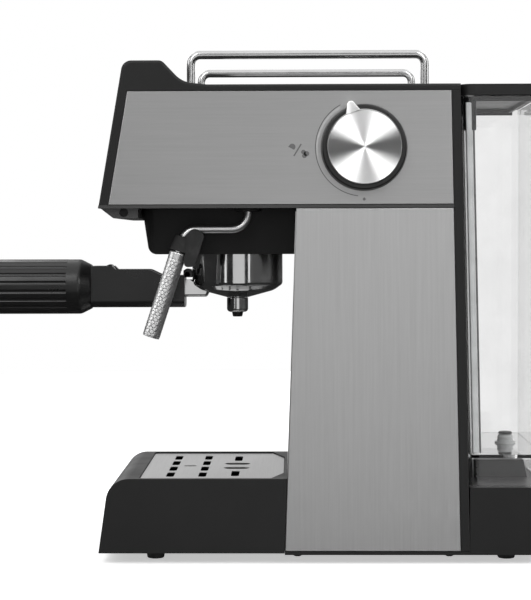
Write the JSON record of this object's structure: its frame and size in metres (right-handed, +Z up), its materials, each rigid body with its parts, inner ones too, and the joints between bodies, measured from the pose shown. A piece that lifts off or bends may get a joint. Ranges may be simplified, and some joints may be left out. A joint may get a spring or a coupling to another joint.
{
  "type": "espresso machine",
  "caption": "Slim pump espresso machine: steel-clad column and head, portafilter, steam wand and knob, drip tray, lift-off clear water tank, railed cup warmer.",
  "frame": {"origin": "on the counter, under the middle of the base's footprint", "axes": "+X to the user's right when facing the machine, +Y to the back, +Z up"},
  "size_m": [0.161, 0.408, 0.333],
  "materials": {
    "steel_panels": "brushed",
    "steel_grate": "satin",
    "black_plastic": "fine texture",
    "cover_plastic": "satin",
    "handle_plastic": "satin",
    "chrome": "polished",
    "sleeve_steel": "polished",
    "rubber": "matte",
    "clear_tank": "clear",
    "valve_plastic": "moulded",
    "lamp_plastic": "clear",
    "screw_steel": "plated",
    "cast_aluminium": "cast",
    "brass": "turned",
    "pump_plastic": "moulded",
    "hose_silicone": "matte",
    "board": "lacquered"
  },
  "bodies": {
    "machine": {"base_housing": "black_plastic", "rubber_feet": "rubber", "housing_screws": "screw_steel", "column_frame": "black_plastic", "column_front_panel": "steel_panels", "column_side_panel_right": "steel_panels", "column_side_panel_left": "steel_panels", "rear_cover": "black_plastic", "head_housing": "black_plastic", "head_front_panel": "steel_panels", "head_side_panel_right": "steel_panels", "head_side_panel_left": "steel_panels", "head_bottom_cover": "cover_plastic", "cup_warmer_plate": "steel_panels", "cup_rails": "chrome", "indicator_lights": "lamp_plastic", "button_board": "board", "group_shroud": "cover_plastic", "brew_group": "cast_aluminium", "group_gasket": "rubber", "shower_screen": "sleeve_steel", "shower_screw": "screw_steel", "thermoblock": "cast_aluminium", "heating_element": "cast_aluminium", "thermostats": "cast_aluminium", "pump_body": "pump_plastic", "pump_mounts": "rubber", "pump_bracket": "screw_steel", "inlet_hose": "hose_silicone", "pressure_hose": "hose_silicone", "steam_pipes": "screw_steel", "steam_valve_body": "brass", "wand_gland_nut": "black_plastic", "control_board": "board", "tank_dock": "black_plastic", "dock_seal": "rubber", "cord_gland": "black_plastic"},
    "steam_knob": {"knob_skirt": "handle_plastic", "knob_cap": "chrome", "valve_stem": "screw_steel"},
    "power_button": {"power_button": "black_plastic"},
    "one_cup_button": {"one_cup_button": "black_plastic"},
    "two_cup_button": {"two_cup_button": "black_plastic"},
    "wand": {"wand_tube": "chrome", "wand_grip": "rubber"},
    "sleeve": {"frother_sleeve": "sleeve_steel"},
    "portafilter": {"portafilter_cup": "chrome", "portafilter_handle": "handle_plastic", "portafilter_grip": "handle_plastic", "filter_basket": "sleeve_steel", "spout_nut": "chrome", "spout_nozzle": "handle_plastic"},
    "latch": {"filter_latch": "handle_plastic"},
    "tray": {"drip_tray": "black_plastic"},
    "grate": {"drip_grate": "steel_grate"},
    "tank": {"water_tank": "clear_tank", "tank_collar": "black_plastic", "tank_valve": "valve_plastic"},
    "lid": {"tank_lid": "black_plastic"},
    "plunger": {"valve_plunger": "valve_plastic"}
  },
  "joints": [
    {"name": "steam_knob_turn", "type": "hinge", "parent": "machine", "child": "steam_knob", "pos_m": [0.075, 0.0263, 0.2697], "axis": [1, 0, 0], "range_deg": [0, 161.7]},
    {"name": "power_button_press", "type": "slide", "parent": "machine", "child": "power_button", "axis": [0, 0.9856, -0.1689], "range_m": [0, 0.0024], "stiffness_N_per_m": 300},
    {"name": "one_cup_button_press", "type": "slide", "parent": "machine", "child": "one_cup_button", "axis": [0, 0.9856, -0.1689], "range_m": [0, 0.0024], "stiffness_N_per_m": 300},
    {"name": "two_cup_button_press", "type": "slide", "parent": "machine", "child": "two_cup_button", "axis": [0, 0.9856, -0.1689], "range_m": [0, 0.0024], "stiffness_N_per_m": 300},
    {"name": "wand_swing", "type": "hinge", "parent": "machine", "child": "wand", "pos_m": [0.057, -0.0488, 0.2174], "axis": [0, 0, 1], "range_deg": [0, 80]},
    {"name": "sleeve_pull", "type": "slide", "parent": "wand", "child": "sleeve", "axis": [0, -0.314, -0.9494], "range_m": [0, 0.042]},
    {"name": "portafilter_turn", "type": "hinge", "parent": "machine", "child": "portafilter", "pos_m": [0, -0.0578, 0.21], "axis": [0, 0, -1], "range_deg": [0, 45]},
    {"name": "latch_slide", "type": "slide", "parent": "portafilter", "child": "latch", "axis": [0, -1, 0], "range_m": [0, 0.006]},
    {"name": "tray_slide", "type": "slide", "parent": "machine", "child": "tray", "axis": [0, -1, 0], "range_m": [0, 0.13]},
    {"name": "grate_lift", "type": "slide", "parent": "tray", "child": "grate", "axis": [0, 0, 1], "range_m": [0, 0.03]},
    {"name": "tank_lift", "type": "slide", "parent": "machine", "child": "tank", "axis": [0, 0, 1], "range_m": [0, 0.03]},
    {"name": "lid_open", "type": "hinge", "parent": "tank", "child": "lid", "pos_m": [0, 0.1425, 0.307], "axis": [-1, 0, 0], "range_deg": [0, 85]},
    {"name": "plunger_lift", "type": "slide", "parent": "tank", "child": "plunger", "axis": [0, 0, 1], "range_m": [0, 0.003], "stiffness_N_per_m": 200}
  ]
}
